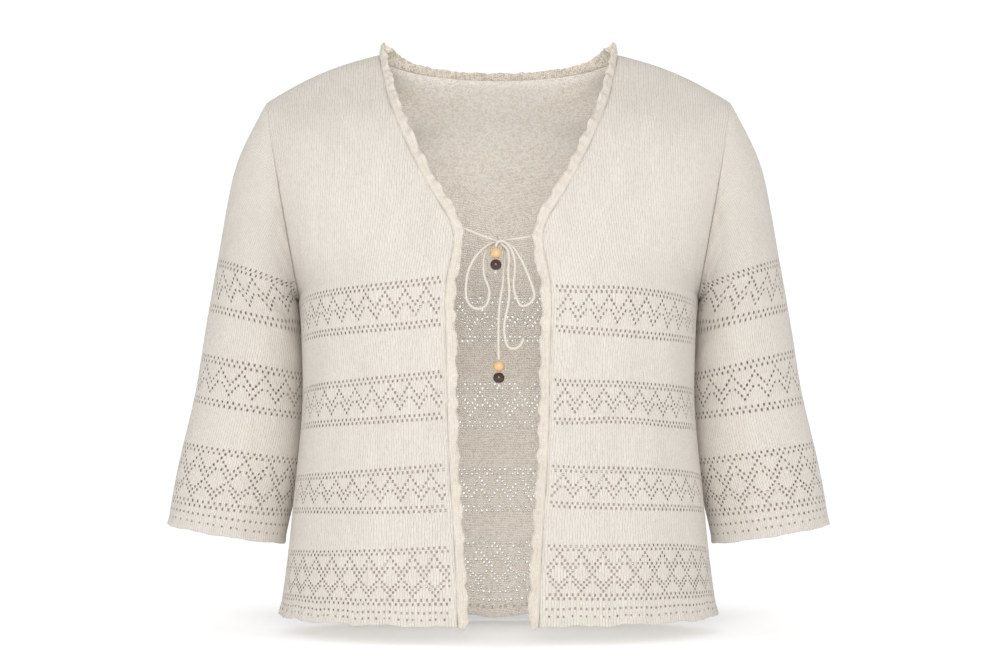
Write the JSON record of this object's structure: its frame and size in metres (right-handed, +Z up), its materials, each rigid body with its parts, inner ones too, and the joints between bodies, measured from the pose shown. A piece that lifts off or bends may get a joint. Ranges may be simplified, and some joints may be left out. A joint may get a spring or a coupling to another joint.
{
  "type": "tie-front cardigan",
  "caption": "Open-front lace knit cardigan with three-quarter sleeves, a fluted edging and a cord bow with wooden beads, filled out as if worn.",
  "frame": {"origin": "midway between the neck ends of the two shoulder seams, where the shoulders carry the garment", "axes": "+Z up the worn garment, +X to the wearer's left, the front faces -Y"},
  "size_m": [0.6444, 0.2617, 0.5643],
  "materials": {
    "knit": "matt slubby cotton and linen knit",
    "edging": "matt fine knit band",
    "cord": "matt knitted cord",
    "pale_wood": "polished pale wood",
    "dark_wood": "polished dark wood"
  },
  "bodies": {
    "root": {"back_panel": "knit", "left_front": "knit", "right_front": "knit", "left_sleeve": "knit", "right_sleeve": "knit", "left_front_edging": "edging", "right_front_edging": "edging", "back_neck_edging": "edging", "left_tie": "cord", "right_tie": "cord", "knot_tie": "cord", "left_tie_bead_pale": "pale_wood", "left_tie_bead_dark": "dark_wood", "right_tie_bead_pale": "pale_wood", "right_tie_bead_dark": "dark_wood"}
  },
  "joints": []
}
